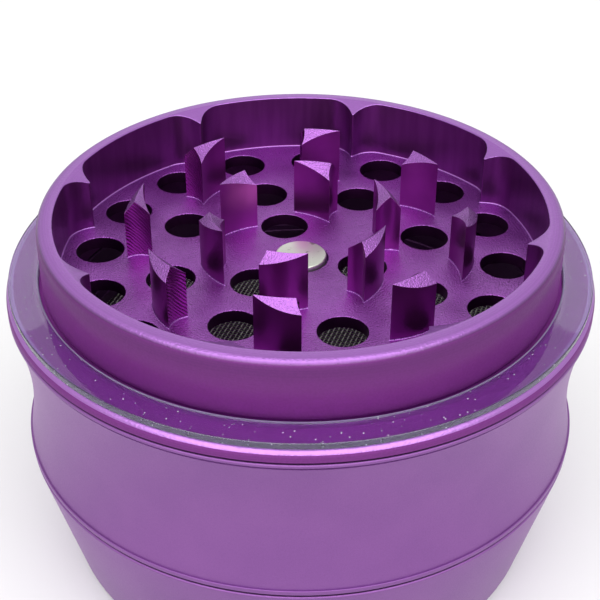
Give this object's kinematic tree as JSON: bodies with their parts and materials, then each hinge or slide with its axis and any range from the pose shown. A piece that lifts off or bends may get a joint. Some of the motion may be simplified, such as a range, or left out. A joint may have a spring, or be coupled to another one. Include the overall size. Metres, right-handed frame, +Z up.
{
  "type": "herb grinder",
  "caption": "Round hand grinder for herbs with its lid off: a milled chamber of hooked teeth and drain holes, on a waisted sieve body and a tapered stash cup that screw together.",
  "frame": {"origin": "centre of the flat face that the stash cup stands on", "axes": "+Z up along the axis of the stack, towards the open chamber; -Y towards the side that the picture shows"},
  "size_m": [0.0636, 0.0636, 0.0422],
  "materials": {
    "blasted_body": "bead blasted and anodised purple",
    "milled_chamber": "turned, milled and anodised purple",
    "clear_plastic": "clear, polished",
    "magnet_nickel": "satin nickel plate",
    "screen_wire": "woven stainless wire",
    "spring_wire": "drawn spring wire"
  },
  "bodies": {
    "stash_cup": {"stash_cup": "blasted_body"},
    "sieve_body": {"sieve_body": "blasted_body", "screen_mesh": "screen_wire", "screen_rim": "screen_wire", "snap_ring": "spring_wire"},
    "grinding_chamber": {"grinding_chamber": "milled_chamber", "centre_magnet": "magnet_nickel"},
    "glide_ring": {"glide_ring": "clear_plastic"}
  },
  "joints": [
    {"name": "sieve_lift", "type": "slide", "parent": "stash_cup", "child": "sieve_body", "axis": [0, 0, 1], "range_m": [0, 0.03]},
    {"name": "chamber_lift", "type": "slide", "parent": "sieve_body", "child": "grinding_chamber", "axis": [0, 0, 1], "range_m": [0, 0.03]},
    {"name": "glide_ring_turn", "type": "hinge", "parent": "grinding_chamber", "child": "glide_ring", "pos_m": [0, 0, 0.035], "axis": [0, 0, 1], "continuous": true}
  ]
}
